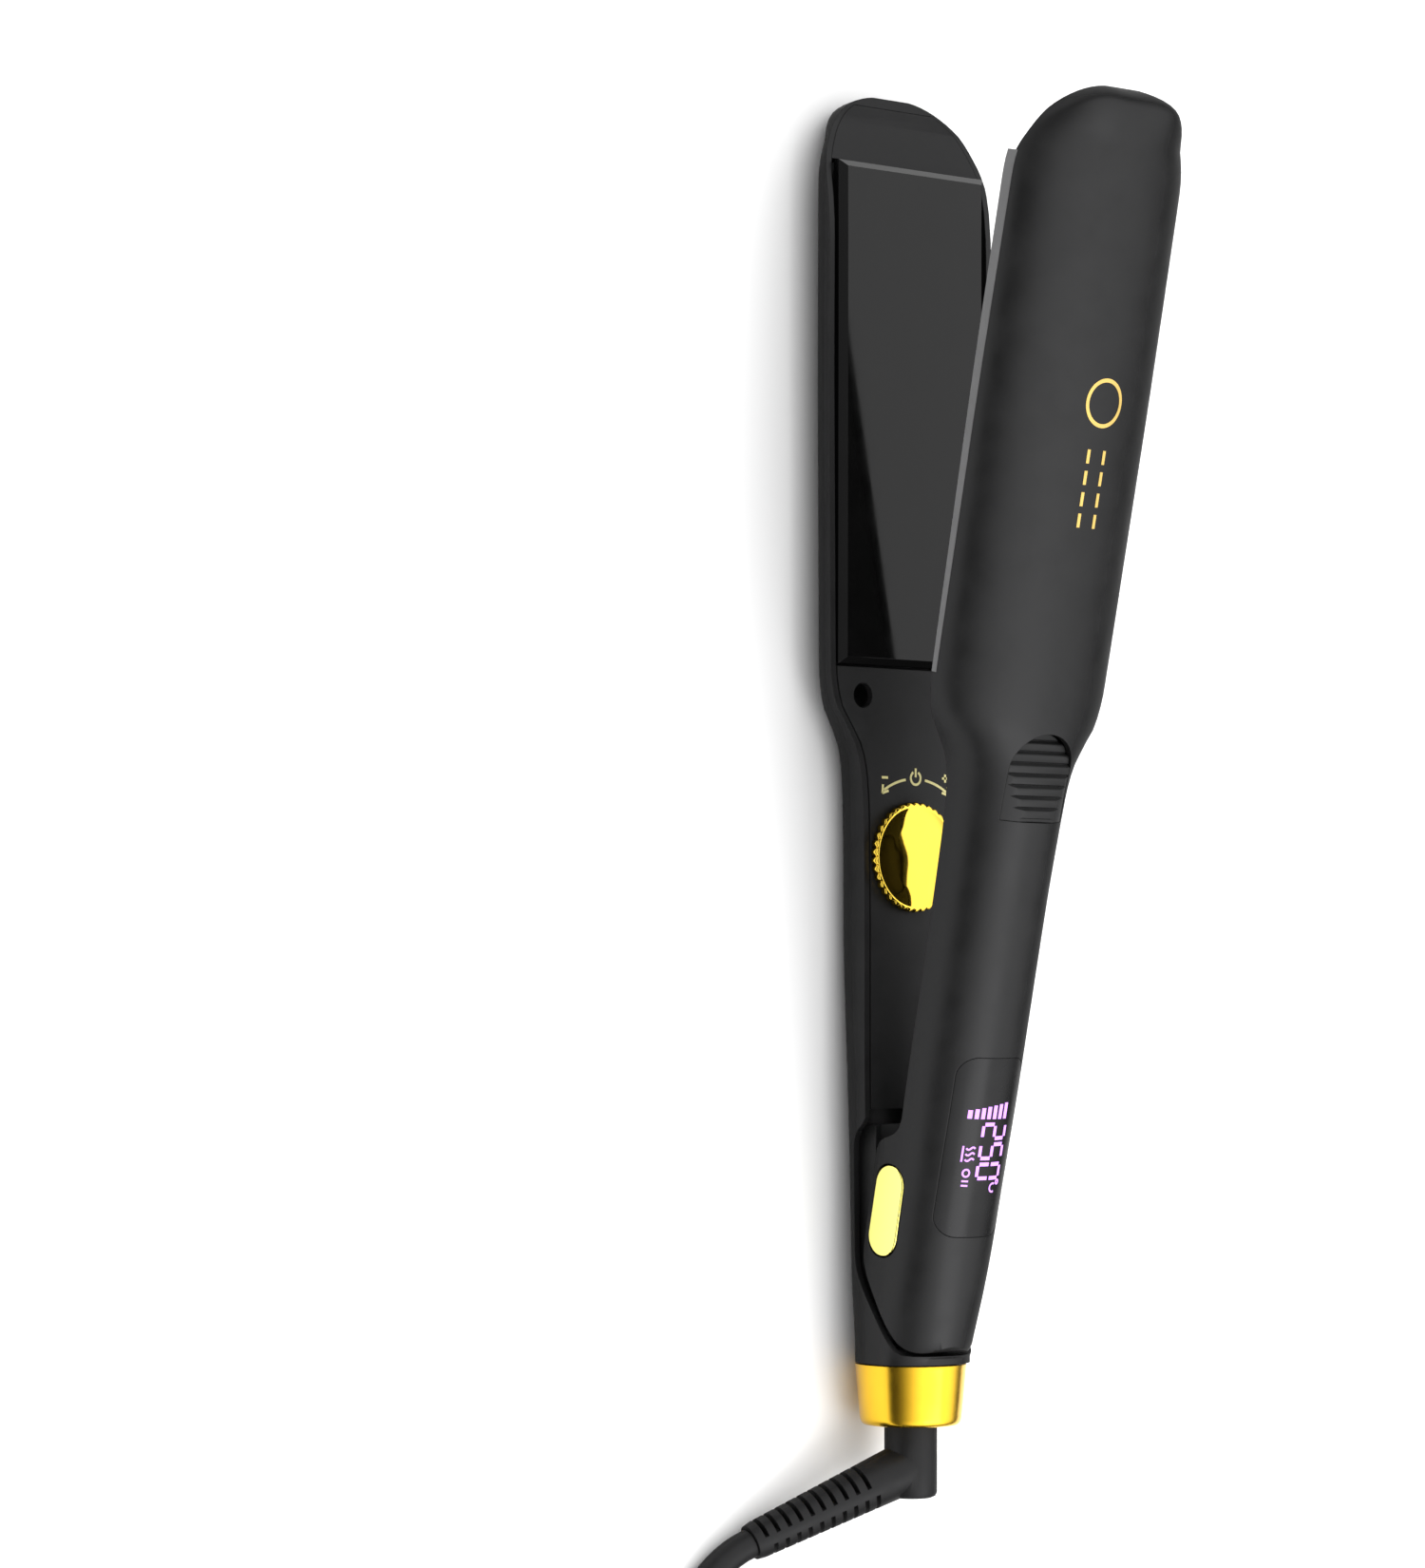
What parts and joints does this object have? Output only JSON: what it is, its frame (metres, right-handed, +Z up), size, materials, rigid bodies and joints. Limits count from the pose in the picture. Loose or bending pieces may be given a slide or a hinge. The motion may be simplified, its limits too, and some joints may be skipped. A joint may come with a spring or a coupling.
{
  "type": "hair straightening iron",
  "caption": "Wide-plate hair straightening iron with hinged tapering arms sprung open, floating heated plates, a knurled temperature dial, a display window and a swivelling mains cord.",
  "frame": {"origin": "centre of the iron's bounding box in plan, at the level of the flat land it lies on, cord left out", "axes": "+Y towards the nose, +Z up from the lower arm to the upper arm, +X completes the right-handed set"},
  "size_m": [0.1108, 0.4514, 0.0877],
  "materials": {
    "shell": "satin soft-touch black",
    "cover": "satin black",
    "plate": "polished dark coating",
    "gold": "gold plated",
    "lens": "polished smoked",
    "steel": "plain",
    "ceramic": "unglazed",
    "silicone": "matte",
    "board": "glass-fibre laminate",
    "inner": "as moulded",
    "brass": "plain",
    "cord": "matte black"
  },
  "bodies": {
    "lower_arm": {"lower_shell": "shell", "lower_cover": "cover", "lower_plate_carrier": "inner", "lower_carrier_screw_front": "steel", "lower_carrier_screw_rear": "steel", "lower_cushion_front": "silicone", "lower_cushion_rear": "silicone", "control_board": "board", "switching_triac": "inner", "mains_capacitor": "steel", "dial_encoder": "inner", "lower_hinge_housing": "inner", "hinge_pin": "steel", "hinge_spring": "steel", "swivel_socket": "inner", "end_collar": "gold", "cord_lead": "cord", "cord_coil": "cord", "cord_end": "cord", "coil_tie": "cord", "plug_body": "cord", "plug_pin_left": "brass", "plug_pin_right": "brass"},
    "upper_arm": {"upper_shell": "shell", "upper_cover": "cover", "upper_plate_carrier": "inner", "upper_carrier_screw_front": "steel", "upper_carrier_screw_rear": "steel", "upper_cushion_front": "silicone", "upper_cushion_rear": "silicone", "thumb_grip": "cover", "display_lens": "lens", "display_module": "inner", "display_board": "board", "hinge_pill_left": "gold", "hinge_pill_right": "gold", "upper_hinge_bracket": "steel", "hinge_bush_left": "brass", "hinge_bush_right": "brass"},
    "lower_plate_float": {"lower_plate": "plate", "lower_heater": "ceramic", "lower_heater_clip": "steel", "lower_thermal_fuse": "steel"},
    "upper_plate_float": {"upper_plate": "plate", "upper_heater": "ceramic", "upper_heater_clip": "steel", "upper_thermal_sensor": "steel"},
    "dial": {"dial_knob": "gold"},
    "cord_swivel": {"swivel_plug": "brass", "strain_relief": "cord"}
  },
  "joints": [
    {"name": "arm_hinge", "type": "hinge", "parent": "lower_arm", "child": "upper_arm", "pos_m": [0, -0.1215, 0.0157], "axis": [-1, 0, 0], "range_deg": [0, 12.3], "stiffness_Nm_per_rad": 0.5, "springref_deg": -40.11},
    {"name": "dial_turn", "type": "hinge", "parent": "lower_arm", "child": "dial", "pos_m": [0, -0.0225, 0.0142], "axis": [0, 0, 1], "continuous": true},
    {"name": "lower_plate_press", "type": "slide", "parent": "lower_arm", "child": "lower_plate_float", "axis": [0, 0, -1], "range_m": [0, 0.0008], "stiffness_N_per_m": 3000, "springref_m": -0.001},
    {"name": "upper_plate_press", "type": "slide", "parent": "upper_arm", "child": "upper_plate_float", "axis": [0, -0.213, 0.977], "range_m": [0, 0.0008], "stiffness_N_per_m": 3000, "springref_m": -0.001},
    {"name": "cord_swivel_turn", "type": "hinge", "parent": "lower_arm", "child": "cord_swivel", "pos_m": [0, -0.1565, 0.0142], "axis": [0, 1, 0], "continuous": true}
  ]
}
